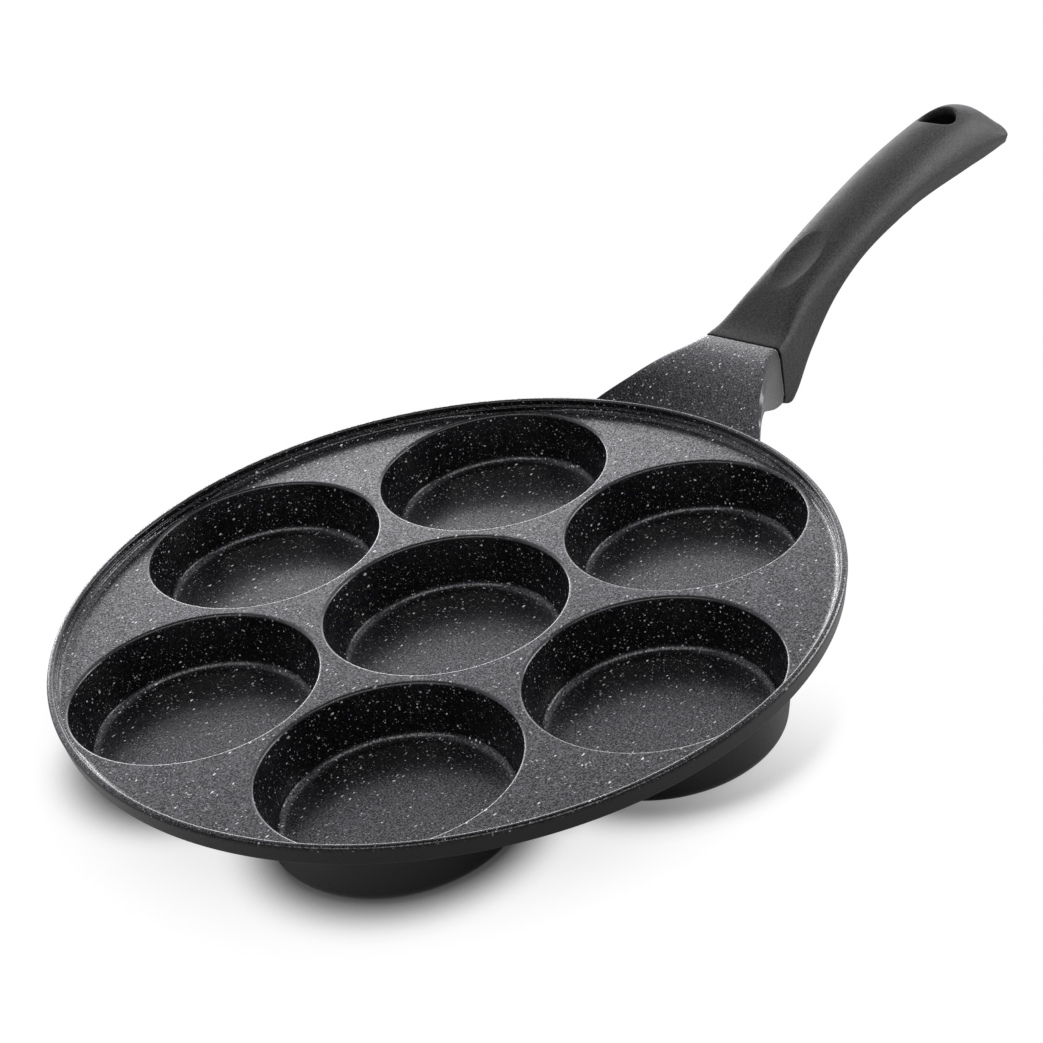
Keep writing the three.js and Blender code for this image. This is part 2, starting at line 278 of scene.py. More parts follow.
class EggPanHandle(bpy.types.PropertyGroup):
    """Sizes of the handle."""

    length: distance("Length", "From the seam to the handle's end", 173)
    half_width: distance("Half width", "Half of the greatest width near the end", 14.4)
    rise: distance("Rise", "Height of the highest point over the plate", 47)
    hole_inset: distance("Hole inset", "From the hanging hole's middle to the end", 33)
    hole_radius: distance("Hole radius", "Radius of the hanging hole", 7.4)
    dimple_along: distance("Dimple place", "From the seam to the thumb dimple's middle", 40.5)
    dimple_length: distance("Dimple length", "Length of the thumb dimple", 31)
    dimple_width: distance("Dimple width", "Width of the thumb dimple", 14)
    dimple_depth: distance("Dimple depth", "Depth of the thumb dimple", 1.5)


class EggPanFinish(bpy.types.PropertyGroup):
    """Colours and gloss of the pan."""

    coat: colour("Coating", "Ground colour of the flecked coating", (0.0006, 0.0006, 0.0009))
    dust: colour("Dust", "Colour of the coating's finest grain", (0.0022, 0.0022, 0.0026))
    fleck: colour("Flecks", "Colour of the coating's flecks", (0.68, 0.68, 0.7))
    outside: colour("Outside", "Colour of the plain outside", (0.006, 0.006, 0.006))
    handle: colour("Handle", "Colour of the handle", (0.021, 0.02, 0.0205))
    steel: colour("Steel", "Colour of the screw and washer", (0.36, 0.37, 0.39))
    coat_gloss: fraction("Coating roughness", "Roughness of the flecked coating", 0.26)
    handle_gloss: fraction("Handle roughness", "Roughness of the handle", 0.5)


class EggPanStudio(bpy.types.PropertyGroup):
    """Camera, lamps and floor."""

    camera_place: FloatVectorProperty(
        name="Camera", description="Where the camera stands",
        default=(-0.44488, -0.49150, 0.43076), size=3, subtype="TRANSLATION", unit="LENGTH",
    )
    camera_azimuth: angle("Azimuth", "Turn of the camera about the upright", -44.71)
    camera_elevation: angle("Elevation", "How far the camera looks down", 30.10)
    camera_roll: angle("Roll", "Turn of the camera about its own view", -10.58)
    camera_lens: FloatProperty(
        name="Lens", description="Focal length in millimetres", default=81.35, min=1.0,
        subtype="DISTANCE_CAMERA",
    )
    back_glow: brightness("Back card", "Brightness of the large white card behind the pan", 2.2)
    strip_glow: brightness("Low strip", "Brightness of the low strip behind the pan", 6.5)
    right_glow: brightness("Right card", "Brightness of the card at the handle's side", 7.2)
    front_glow: brightness("Front card", "Brightness of the card before the pan, shown only in gloss", 3.6)
    sky_low: brightness("Low sky", "Brightness of the low surroundings", 0.15)
    sky_high: brightness("High sky", "Brightness of the white ceiling", 1.45)
    gloss_low: brightness("Back in gloss", "Brightness that gloss shows low behind the pan", 1.4)
    gloss_front: brightness("Front in gloss", "Brightness that gloss shows low before the pan", 0.3)
    gloss_high: brightness("High sky in gloss", "Brightness that gloss shows overhead", 0.12)
    contact: distance("Contact shadow", "How far from a cup's base the floor darkens", 19)
    table: fraction("Table", "How much light the floor under the cups throws back", 0.4)
    far_table: fraction("Far table", "How much light the floor under the handle throws back", 0.5)
    shadow: fraction("Shadow", "How much of the shadow the floor shows", 0.2)


def smooth(value, low, high):
    """0 below low, 1 above high and a smooth step between."""
    share = min(max((value - low) / (high - low), 0.0), 1.0)
    return share * share * (3.0 - 2.0 * share)


def mix(a, b, share):
    return a + (b - a) * share


def arc(radius, height, size, start, end, steps=ARC_STEPS):
    """Points of an arc in a turned profile, angles in degrees."""
    points = []
    for step in range(steps + 1):
        turn = math.radians(mix(start, end, step / steps))
        points.append((radius + size * math.cos(turn), height + size * math.sin(turn)))
    return points


def heading(azimuth, elevation):
    """A direction from its turn about the upright and its height over the horizon."""
    level = math.cos(elevation)
    return Vector((math.sin(azimuth) * level, -math.cos(azimuth) * level, math.sin(elevation)))


class Shell:
    """A piece while it is built: corners, faces, and a share at each corner, which the material reads.

    On the casting the share says where the flecked coating lies; on the handle it is painted shade at the
    seam and inside the hanging hole.
    """

    def __init__(self):
        self.corners = []
        self.faces = []
        self.shares = []

    def ring(self, points, share=0.0):
        first = len(self.corners)
        self.corners.extend(points)
        self.shares.extend([share] * len(points))
        return list(range(first, len(self.corners)))

    def bridge(self, ring, following, closed=True):
        count = len(ring)
        for i in range(count if closed else count - 1):
            j = (i + 1) % count
            self.faces.append((ring[i], ring[j], following[j], following[i]))

    def bridge_all(self, rings, closed=True):
        for ring, following in zip(rings, rings[1:]):
            self.bridge(ring, following, closed)

    def fan(self, ring, middle, share=0.0):
        centre = self.ring([middle], share)[0]
        for i, corner in enumerate(ring):
            self.faces.append((corner, ring[(i + 1) % len(ring)], centre))

    def fill(self, loops):
        """A flat face inside the first loop and outside the others."""
        order = [corner for loop in loops for corner in loop]
        outlines = [[Vector(self.corners[i]) / MM for i in loop] for loop in loops]
        for triangle in tessellate_polygon(outlines):
            self.faces.append(tuple(order[i] for i in triangle))

    def to_object(self, name, material):
        mesh = bpy.data.meshes.new(name)
        mesh.from_pydata(self.corners, [], self.faces)
        shares = mesh.attributes.new("share", "FLOAT", "POINT")
        shares.data.foreach_set("value", self.shares)
        work = bmesh.new()
        work.from_mesh(mesh)
        loose = [corner for corner in work.verts if not corner.link_faces]
        bmesh.ops.delete(work, geom=loose, context="VERTS")
        bmesh.ops.recalc_face_normals(work, faces=work.faces)
        work.to_mesh(mesh)
        work.free()
        mesh.polygons.foreach_set("use_smooth", [True] * len(mesh.polygons))
        mesh.set_sharp_from_angle(angle=SHARP_ANGLE)
        mesh.materials.append(material)
        piece = bpy.data.objects.new(name, mesh)
        bpy.context.scene.collection.objects.link(piece)
        return piece


class Tongue:
    """The stem's tongue: its axes and the point where it leaves the seam."""

    def __init__(self, casting):
        plate = casting.cup_depth + casting.cup_base
        height = plate + (casting.seam_top - casting.seam_drop) / 2
        self.origin = Vector((casting.rim_radius + casting.stem_reach, 0, height))
        self.along = Vector((math.cos(TONGUE_RISE), 0, math.sin(TONGUE_RISE)))
        self.across = Vector((0, 1, 0))
        self.up = Vector((-math.sin(TONGUE_RISE), 0, math.cos(TONGUE_RISE)))

    def add_to(self, shell, x, clearance):
        """Adds the tongue's walls from the plane at x to its end, and returns the loop at x."""
        half = TONGUE_WIDTH / 2 + clearance
        rise = TONGUE_HEIGHT / 2 + clearance
        start = []
        end = []
        for side, level in ((1, 1), (-1, 1), (-1, -1), (1, -1)):
            corner = self.origin + self.across * side * half + self.up * level * rise
            start.append(corner + self.along * (x - corner.x) / self.along.x)
            end.append(corner + self.along * (TONGUE_LENGTH + clearance))
        first = shell.ring(start)
        last = shell.ring(end)
        shell.bridge(first, last)
        shell.faces.append(tuple(last))
        return first


class CastingForm:
    """Builds the casting's surface ring by ring."""

    def __init__(self, casting):
        self.sizes = casting
        self.shell = Shell()
        self.plate = casting.cup_depth + casting.cup_base
        self.lip_inside = casting.rim_radius - casting.lip_width
        self.ledge_inside = self.lip_inside - casting.ledge_width
        self.edge_radius = (self.ledge_inside - casting.rim_margin - casting.cup_web) / 3
        self.mouth_radius = self.edge_radius - casting.mouth_round
        self.floor_radius = self.mouth_radius - casting.cup_taper
        self.pitch = 2 * self.edge_radius + casting.cup_web
        self.lean = math.atan2(casting.cup_taper, casting.cup_depth)
        self.seam = casting.rim_radius + casting.stem_reach

    def cup_places(self):
        places = [(0.0, 0.0)]
        for i in range(RING_CUPS):
            turn = (2 * i + 1) * math.pi / RING_CUPS
            places.append((self.pitch * math.cos(turn), self.pitch * math.sin(turn)))
        return places

    def cove(self, turn):
        """Width of the hollow at the step's foot, narrow where a cup comes close to it."""
        sector = 2 * math.pi / RING_CUPS
        away = abs((turn % sector) - sector / 2)
        return mix(COVE_LEAST, COVE_MOST, smooth(away, COVE_FROM, COVE_TO))

    def rim_ring(self, place, coat, columns=range(RIM_COLUMNS)):
        """A ring around the rim: place gives radius and height over the plate at each turn."""
        points = []
        for column in columns:
            turn = 2 * math.pi * column / RIM_COLUMNS
            radius, height = place(turn, column)
            points.append((radius * math.cos(turn), radius * math.sin(turn), self.plate + height))
        return self.shell.ring(points, coat)

    def rim_inside(self):
        sizes = self.sizes
        rings = [self.rim_ring(lambda turn, column: (self.ledge_inside - self.cove(turn) - SUPPORT, 0), 1)]
        rise = sizes.ledge_height - LEDGE_ROUND
        for step in range(ARC_STEPS + 1):
            part = math.pi / 2 * step / ARC_STEPS
            rings.append(self.rim_ring(
                lambda turn, column: (
                    self.ledge_inside - self.cove(turn) * (1 - math.sin(part)),
                    rise * (1 - math.cos(part)),
                ), 1))
        fillet_height = sizes.ledge_height + LEDGE_FILLET
        edge_radius = sizes.rim_radius - LIP_EDGE_ROUND
        edge_height = sizes.lip_height - LIP_EDGE_ROUND
        profile = [
            *arc(self.ledge_inside + LEDGE_ROUND, rise, LEDGE_ROUND, 180, 90, SMALL_ARC_STEPS)[1:],
            *arc(self.lip_inside - LEDGE_FILLET, fillet_height, LEDGE_FILLET, -90, 0, SMALL_ARC_STEPS),
            *arc(self.lip_inside + LIP_ROUND, sizes.lip_height - LIP_ROUND, LIP_ROUND, 180, 90),
            *arc(edge_radius, edge_height, LIP_EDGE_ROUND, 90, 0),
        ]
        lip = len(profile) - 2 * (ARC_STEPS + 1)
        fading = len(profile) - ARC_STEPS // 2
        for i, point in enumerate(profile):
            thin = lip < i < lip + ARC_STEPS or i >= fading
            rings.append(self.rim_ring(lambda turn, column: point, EDGE_COAT if thin else 1))
        self.shell.bridge_all(rings)
        return rings[0], rings[-1]

    def rim_outside(self, top):
        """The outer wall and its foot, with a gap for the stem.

        Returns the foot's inner ring and the gap's edges.
        """
        sizes = self.sizes
        foot = sizes.rim_radius - sizes.rim_draft
        under = -sizes.plate_thickness
        low = under + FOOT_ROUND
        high = sizes.lip_height - LIP_EDGE_ROUND

        def flattened(point):
            def place(turn, column):
                away = min(column, RIM_COLUMNS - column)
                weight = smooth(STEM_COLUMNS - away, 0, STEM_BLEND_COLUMNS)
                return point[0], mix(point[1], under, weight)
            return place

        def wall(row):
            share = row / WALL_ROWS
            return mix(sizes.rim_radius, foot, share), mix(high, low, share)

        walls = [top]
        for row in range(1, STEM_STEP_ROWS + 1):
            walls.append(self.rim_ring(lambda turn, column: wall(row), 0))
        self.shell.bridge_all(walls)
        bottom = self.rim_ring(flattened((foot, low)), 0)
        span = slice(STEM_COLUMNS, RIM_COLUMNS - STEM_COLUMNS + 1)
        strips = [walls[-1][span]]
        for row in range(STEM_STEP_ROWS + 1, WALL_ROWS):
            strips.append(self.rim_ring(lambda turn, column: wall(row), 0, range(RIM_COLUMNS)[span]))
        strips.append(bottom[span])
        self.shell.bridge_all(strips, closed=False)
        rings = [bottom]
        for point in arc(foot - FOOT_ROUND, low, FOOT_ROUND, 0, -90, FOOT_STEPS)[1:]:
            rings.append(self.rim_ring(flattened(point), 0))
        rings.append(self.rim_ring(lambda turn, column: (foot - FOOT_ROUND - SUPPORT, under), 0))
        self.shell.bridge_all(rings)
        return rings[-1], (walls[-1], strips[1:-1], bottom)

    def stem_section(self, share, root_half, root_top):
        """Half width, top and underside of the stem at a share of its length."""
        sizes = self.sizes
        half = mix(sizes.seam_half_width, root_half, (1 - share) ** STEM_FLARE_POWER)
        top = mix(sizes.seam_top, root_top, (1 - share) ** STEM_RISE_POWER)
        deepest = sizes.seam_top + sizes.seam_drop
        depth = mix(root_top + sizes.plate_thickness, deepest, smooth(share, *STEM_DEEPENS))
        return half, top, top - depth

    def stem(self, top, strips, bottom):
        """The stem: its loops start at the gap in the rim's wall and end at the seam."""
        sizes = self.sizes
        shell = self.shell
        columns = range(-STEM_COLUMNS, STEM_COLUMNS + 1)
        widest = math.sin(2 * math.pi * STEM_COLUMNS / RIM_COLUMNS)
        across = [math.sin(2 * math.pi * column / RIM_COLUMNS) / widest for column in columns]
        rows = len(strips) + 1
        down = [1 - 2 * row / rows for row in range(1, rows)]
        root = [top[column] for column in columns]
        root += [strip[0] for strip in strips]
        root += [bottom[-column] for column in columns]
        root += [strip[-1] for strip in reversed(strips)]
        spots = [("top", share) for share in across]
        spots += [("left", share) for share in down]
        spots += [("under", -share) for share in across]
        spots += [("right", -share) for share in down]
        starts = [Vector(shell.corners[i]) for i in root]
        root_top = starts[0].z - self.plate
        root_half = sizes.rim_radius * widest

        def rounded(share, power):
            return (1 - abs(share) ** power) ** (1 / power)

        def loop(share, x_end, inset):
            half, high, low = self.stem_section(share, root_half, root_top)
            half -= inset
            high -= inset
            low += inset
            middle = (high + low) / 2
            reach = (high - low) / 2
            softness = smooth(share, 0, STEM_SQUARE_UNTIL)
            points = []
            for (face, spot), start in zip(spots, starts):
                flat = face in ("top", "under")
                upper = face == "top" if flat else spot > 0
                power = SEAM_SQUARENESS if upper else SEAM_FOOT_SQUARENESS
                along_face = mix(spot, spot * 0.5 ** (1 / power), softness)
                across_face = mix(1, rounded(spot * 0.5 ** (1 / power), power), softness)
                sign = 1 if face in ("top", "left") else -1
                if flat:
                    y = half * along_face
                    z = middle + sign * reach * across_face
                else:
                    y = sign * half * across_face
                    z = middle + reach * along_face
                points.append((mix(start.x, x_end, share), y, self.plate + z))
            return points

        shares = [row / STEM_ROWS for row in range(1, STEM_ROWS + 1)]
        rings = [root]
        for share in shares:
            rings.append(shell.ring(loop(share, self.seam - EDGE_BEVEL, 0)))
        for (face, spot), *corners in zip(spots, *rings[1:]):
            coat = 1.0 if face == "top" and abs(spot) < STEM_COAT_ACROSS else 0.0
            for i in corners:
                shell.shares[i] = coat
        rings.append(shell.ring(loop(1, self.seam, EDGE_BEVEL)))
        shell.bridge_all(rings)
        tongue = Tongue(sizes).add_to(shell, self.seam, 0)
        shell.fill([rings[-1], tongue])

    def turned(self, place, profile, coat):
        """Rings of a cup from a profile of radius and height over the plate."""
        rings = []
        for radius, height in profile:
            points = []
            for column in range(CUP_COLUMNS):
                turn = 2 * math.pi * column / CUP_COLUMNS
                points.append((
                    place[0] + radius * math.cos(turn),
                    place[1] + radius * math.sin(turn),
                    self.plate + height,
                ))
            rings.append(self.shell.ring(points, coat))
        self.shell.bridge_all(rings)
        return rings

    def cup_inside(self, place):
        sizes = self.sizes
        slope = math.tan(self.lean)
        floor = -sizes.cup_depth
        centre = floor + sizes.floor_fillet
        radius = self.floor_radius + slope * sizes.floor_fillet - sizes.floor_fillet / math.cos(self.lean)
        lean = math.degrees(self.lean)
        profile = [
            (self.edge_radius + SUPPORT, 0),
            *arc(self.edge_radius, -sizes.mouth_round, sizes.mouth_round, 90, 180 - lean),
            *arc(radius, centre, sizes.floor_fillet, -lean, -90, FLOOR_STEPS),
            (radius - SUPPORT, floor),
            *[(radius * share, floor) for share in CUP_FLOOR_RINGS],
        ]
        rings = self.turned(place, profile, 1)
        for ring in rings[2:ARC_STEPS + 1]:
            for corner in ring:
                self.shell.shares[corner] = EDGE_COAT
        self.shell.fan(rings[-1], (place[0], place[1], self.plate + floor), 1)
        return rings[0]

    def cup_outside(self, place):
        sizes = self.sizes
        slope = math.tan(self.lean)
        lean = math.degrees(self.lean)
        under = -sizes.plate_thickness
        base = -self.plate
        foot = base + sizes.base_fillet

        def wall(height):
            return self.floor_radius + sizes.cup_wall + slope * (height + sizes.cup_depth)

        join = under - UNDER_FILLET
        join_radius = wall(join) + UNDER_FILLET / math.cos(self.lean)
        centre = wall(foot) - sizes.base_fillet / math.cos(self.lean)
        profile = [
            (join_radius + SUPPORT, under),
            *arc(join_radius, join, UNDER_FILLET, 90, 180 - lean, SMALL_ARC_STEPS),
            *arc(centre, foot, sizes.base_fillet, -lean, -90, BASE_STEPS),
            (centre - SUPPORT, base),
            *[(centre * share, base) for share in CUP_BASE_RINGS],
        ]
        rings = self.turned(place, profile, 0)
        self.shell.fan(rings[-1], (place[0], place[1], self.plate + base), 0)
        return rings[0]

    def build(self):
        places = self.cup_places()
        plate_edge, lip_edge = self.rim_inside()
        foot_edge, gap = self.rim_outside(lip_edge)
        self.stem(*gap)
        self.shell.fill([plate_edge, *[self.cup_inside(place) for place in places]])
        self.shell.fill([foot_edge, *[self.cup_outside(place) for place in places]])
        return self.shell


class GripForm:
    """Builds the handle's surface ring by ring."""

    def __init__(self, casting, handle):
        self.sizes = handle
        self.shell = Shell()
        self.tongue = Tongue(casting)
        self.plate = casting.cup_depth + casting.cup_base
        self.start = casting.rim_radius + casting.stem_reach + SEAM_GAP
        seam_middle = (casting.seam_top - casting.seam_drop) / 2
        self.stations = [(0.0, casting.seam_half_width, casting.seam_top, seam_middle, -casting.seam_drop)]
        for along, half, top, side, under in GRIP_SHARES:
            self.stations.append((
                along * handle.length, half * handle.half_width,
                top * handle.rise, side * handle.rise, under * handle.rise,
            ))

    def station_at(self, position):
        """A station between the named ones, as a smooth curve through them."""
        last = len(self.stations) - 1
        index = min(int(position), last - 1)
        share = position - index
        values = []
        for key in range(5):
            a = self.stations[index][key]
            b = self.stations[index + 1][key]
            before = self.stations[index - 1][key] if index > 0 else 2 * a - b
            after = self.stations[index + 2][key] if index + 1 < last else 2 * b - a
            slope_a = (b - before) / 2
            slope_b = (after - a) / 2
            cubic = 2 * a - 2 * b + slope_a + slope_b
            square = -3 * a + 3 * b - 2 * slope_a - slope_b
            values.append(((cubic * share + square) * share + slope_a) * share + a)
        return values

    def section(self, along, inset=0.0):
        """The handle's section at a distance from the seam.

        Gives its half width, top, widest line, underside, crown and foot powers, chamfer and bow.
        """
        low = 0.0
        high = float(len(self.stations) - 1)
        for _ in range(HALVINGS):
            middle = (low + high) / 2
            if self.station_at(middle)[0] < along:
                low = middle
            else:
                high = middle
        _, half, top, side, under = self.station_at(low)
        crown = CROWN_POWER + (SEAM_SQUARENESS - CROWN_POWER) * math.exp(-along / CROWN_EASE)
        foot = FOOT_POWER + (SEAM_FOOT_SQUARENESS - FOOT_POWER) * math.exp(-along / FOOT_EASE)
        chamfer = mix(*CHAMFER_SLOPES, smooth(along / self.sizes.length, CHAMFER_FROM, CHAMFER_TO))
        bow = NOSE_BOW * (along / self.sizes.length) ** BOW_POWER
        return half - inset, top - inset, side, under + inset, crown, foot, chamfer, bow

    def dimple(self, along, y):
        """Depth of the thumb dimple."""
        sizes = self.sizes
        lengthwise = (along - sizes.dimple_along) / (sizes.dimple_length / 2)
        crosswise = y / (sizes.dimple_width / 2)
        return sizes.dimple_depth * max(0.0, 1 - lengthwise ** 2 - crosswise ** 2)

    def point(self, along, section, share, height):
        half, bow = section[0], section[7]
        x = self.start + along + bow * (1 - share * share)
        return x, half * share, self.plate + height

    def top_point(self, along, y, section=None, drop=0.0):
        section = section or self.section(along)
        half, top, side, _, crown, _, _, _ = section
        share = y / half
        height = side + (top - side) * (1 - abs(share) ** crown) ** (1 / crown)
        return self.point(along, section, share, height - self.dimple(along, y) - drop)

    def under_point(self, along, y, section=None, drop=0.0):
        section = section or self.section(along)
        half, _, side, under, _, foot, chamfer, _ = section
        share = y / half
        level = min((1 - abs(share) ** foot) ** (1 / foot), chamfer * (1 - abs(share)))
        height = side - (side - under) * level
        return self.point(along, section, share, height + drop)

    def ring(self, along, inset=0.0):
        """One ring around the handle, and where each of its top and underside points lies across."""
        section = self.section(along, inset)
        half, top, side, under, crown, foot, chamfer, _ = section
        crown_corner = 0.5 ** (1 / crown)
        foot_corner = 0.5 ** (1 / foot)
        steps = [1 - 2 * i / GRIP_ACROSS for i in range(GRIP_ACROSS + 1)]
        top_across = [half * crown_corner * step for step in steps]
        under_across = [-half * foot_corner * step for step in steps]
        half_side = GRIP_SIDE // 2
        side_points = []
        for i in range(1, GRIP_SIDE):
            if i <= half_side:
                level = crown_corner * (1 - i / half_side)
                share = (1 - level ** crown) ** (1 / crown)
                side_points.append((share, side + (top - side) * level))
            else:
                level = foot_corner * (i - half_side) / (GRIP_SIDE - half_side)
                share = min((1 - level ** foot) ** (1 / foot), 1 - level / chamfer)
                side_points.append((share, side - (side - under) * level))
        points = [self.top_point(along, y, section) for y in top_across]
        points += [self.point(along, section, -share, height) for share, height in side_points]
        points += [self.under_point(along, y, section) for y in under_across]
        points += [self.point(along, section, share, height) for share, height in reversed(side_points)]
        # Rings right at the seam take painted shade, standing in for the shadow in the seam's gap
        return self.shell.ring(points, 1.0 if along < SEAM_PAINTED_SHADE else 0.0), top_across, under_across

    def body(self):
        """The rings from the seam to the nose, with blocks left open for the hole and the well."""
        sizes = self.sizes
        stops = [(0.0, EDGE_BEVEL), (EDGE_BEVEL, 0.0)]
        straight = sizes.length - NOSE_ROUND
        count = round((straight - EDGE_BEVEL) / GRIP_PITCH)
        for i in range(1, count + 1):
            stops.append((mix(EDGE_BEVEL, straight, i / count), 0.0))
        for i in range(1, NOSE_STEPS + 1):
            part = math.pi / 2 * i / NOSE_STEPS
            stops.append((straight + NOSE_ROUND * math.sin(part), NOSE_ROUND * (1 - math.cos(part))))
        rows = [(along, *self.ring(along, inset)) for along, inset in stops]
        hole = sizes.length - sizes.hole_inset
        hole_rows = [i for i, row in enumerate(rows) if abs(row[0] - hole) < HOLE_BLOCK]
        well_rows = [i for i, row in enumerate(rows) if WELL_BLOCK[0] < row[0] < WELL_BLOCK[1]]
        under_first = GRIP_ACROSS + GRIP_SIDE
        gaps = set()
        for row in hole_rows[:-1]:
            for i in range(HOLE_SKIP, GRIP_ACROSS - HOLE_SKIP):
                gaps.add((row, i))
                gaps.add((row, under_first + i))
        for row in well_rows[:-1]:
            for i in range(WELL_SKIP, GRIP_ACROSS - WELL_SKIP):
                gaps.add((row, under_first + i))
        total = len(rows[0][1])
        for row in range(len(rows) - 1):
            ring = rows[row][1]
            following = rows[row + 1][1]
            for i in range(total):
                j = (i + 1) % total
                if (row, i) not in gaps:
                    self.shell.faces.append((ring[i], ring[j], following[j], following[i]))
        return rows, hole_rows, well_rows

    def block_edge(self, rows, chosen, skip, under):
        """The open edge of a block: corners with their places along and across."""
        span = list(range(skip, GRIP_ACROSS - skip + 1))
        path = [(chosen[0], i) for i in span]
        path += [(row, span[-1]) for row in chosen[1:]]
        path += [(chosen[-1], i) for i in reversed(span[:-1])]
        path += [(row, span[0]) for row in reversed(chosen[1:-1])]
        edge = []
        for row, i in path:
            along, ring, top_across, under_across = rows[row]
            if under:
                i = GRIP_ACROSS - i
                edge.append((ring[GRIP_ACROSS + GRIP_SIDE + i], along, under_across[i]))
            else:
                edge.append((ring[i], along, top_across[i]))
        return edge

    def patch(self, edge, circle, surface):
        """Rings from a block's open edge to a circle that lies on the same surface."""
        rings = [[corner for corner, _, _ in edge]]
        for share in PATCH_SHARES:
            points = []
            for (_, along, y), (along_end, y_end) in zip(edge, circle):
                points.append(surface(mix(along, along_end, share), mix(y, y_end, share)))
            rings.append(self.shell.ring(points))
        rings.append(self.shell.ring([surface(along, y) for along, y in circle]))
        self.shell.bridge_all(rings)
        return rings[-1]

    def hanging_hole(self, rows, hole_rows):
        sizes = self.sizes
        middle = sizes.length - sizes.hole_inset
        top_edge = self.block_edge(rows, hole_rows, HOLE_SKIP, under=False)
        under_edge = self.block_edge(rows, hole_rows, HOLE_SKIP, under=True)
        turns = [math.atan2(y, along - middle) for _, along, y in top_edge]

        def circle(radius):
            return [(middle + radius * math.cos(turn), radius * math.sin(turn)) for turn in turns]

        rims = []
        for edge, surface in ((top_edge, self.top_point), (under_edge, self.under_point)):
            rings = [self.patch(edge, circle(sizes.hole_radius + HOLE_ROUND), surface)]
            for i in range(1, ARC_STEPS + 1):
                part = math.pi / 2 * i / ARC_STEPS
                radius = sizes.hole_radius + HOLE_ROUND * (1 - math.sin(part))
                drop = HOLE_ROUND * (1 - math.cos(part))
                points = [surface(along, y, drop=drop) for along, y in circle(radius)]
                rings.append(self.shell.ring(points))
            self.shell.bridge_all(rings)
            rims.append(rings[-1])
        upper, lower = rims
        corners = self.shell.corners
        ends = [(Vector(corners[a]), Vector(corners[b])) for a, b in zip(upper, lower)]
        rings = [upper]
        for i in range(1, HOLE_ROWS):
            # The hole's inner rings take painted shade, so the hole looks dark inside
            rings.append(self.shell.ring([tuple(a.lerp(b, i / HOLE_ROWS)) for a, b in ends], 1.0))
        rings.append(lower)
        self.shell.bridge_all(rings)

    def well_spot(self, turn, radius):
        """Where a line of the well's wall leaves the underside: place along and across."""
        tongue = self.tongue
        start = tongue.origin + tongue.along * (SCREW_ALONG + radius * math.cos(turn))
        start += tongue.across * radius * math.sin(turn)
        low = 0.0
        high = 2 * WELL_BLOCK[1]
        for _ in range(HALVINGS):
            middle = (low + high) / 2
            spot = start - tongue.up * middle
            if spot.z > self.under_point(spot.x - self.start, spot.y)[2]:
                low = middle
            else:
                high = middle
        spot = start - tongue.up * low
        return spot.x - self.start, spot.y

    def screw_well(self, rows, well_rows):
        tongue = self.tongue
        edge = self.block_edge(rows, well_rows, WELL_SKIP, under=True)
        centre = self.well_spot(0, 0)
        turns = [math.atan2(y, along - centre[0]) for _, along, y in edge]
        mouth = [self.well_spot(turn, WELL_RADIUS + WELL_ROUND) for turn in turns]
        rings = [self.patch(edge, mouth, self.under_point)]
        for i in range(1, SMALL_ARC_STEPS + 1):
            part = math.pi / 2 * i / SMALL_ARC_STEPS
            radius = WELL_RADIUS + WELL_ROUND * (1 - math.sin(part))
            drop = WELL_ROUND * (1 - math.cos(part))
            spots = [self.well_spot(turn, radius) for turn in turns]
            rings.append(self.shell.ring([self.under_point(along, y, drop=drop) for along, y in spots]))
        middle = tongue.origin + tongue.along * SCREW_ALONG
        steps = ((WELL_RADIUS, SCREW_SEAT), (BORE_RADIUS, SCREW_SEAT), (BORE_RADIUS, BORE_END))
        for radius, depth in steps:
            points = []
            for turn in turns:
                aside = tongue.along * math.cos(turn) + tongue.across * math.sin(turn)
                points.append(tuple(middle + aside * radius - tongue.up * depth))
            rings.append(self.shell.ring(points))
        self.shell.bridge_all(rings)
        self.shell.fan(rings[-1], tuple(middle - tongue.up * BORE_END))

    def build(self):
        rows, hole_rows, well_rows = self.body()
        self.hanging_hole(rows, hole_rows)
        self.screw_well(rows, well_rows)
        socket = self.tongue.add_to(self.shell, self.start, FIT)
        self.shell.fill([rows[0][1], socket])
        last = rows[-1][1]
        middle = sum((Vector(self.shell.corners[i]) for i in last), Vector()) / len(last)
        self.shell.fan(last, tuple(middle))
        return self.shell


class Signal:
    """A shader socket that takes part in plain arithmetic."""

    def __init__(self, graph, socket):
        self.graph = graph
        self.socket = socket

    def maths(self, operation, first, second):
        return self.graph.node("ShaderNodeMath", {"operation": operation}, {0: first, 1: second})

    def output(self, name):
        return Signal(self.graph, self.socket.node.outputs[name])

    def __add__(self, other):
        return self.maths("ADD", self, other)

    def __radd__(self, other):
        return self.maths("ADD", other, self)

    def __sub__(self, other):
        return self.maths("SUBTRACT", self, other)

    def __rsub__(self, other):
        return self.maths("SUBTRACT", other, self)

    def __mul__(self, other):
        return self.maths("MULTIPLY", self, other)

    def __rmul__(self, other):
        return self.maths("MULTIPLY", other, self)

    def __pow__(self, other):
        return self.maths("POWER", self, other)

    def __rpow__(self, other):
        return self.maths("POWER", other, self)

    def __lt__(self, other):
        return self.maths("LESS_THAN", self, other)

    def __gt__(self, other):
        return self.maths("GREATER_THAN", self, other)

    def lighter(self, other):
        return self.maths("MAXIMUM", self, other)

    def step(self, low, high):
        """0 at low, 1 at high and a smooth step between."""
        return self.graph.node(
            "ShaderNodeMapRange", {"interpolation_type": "SMOOTHSTEP"},
            {"Value": self, "From Min": low, "From Max": high},
        )


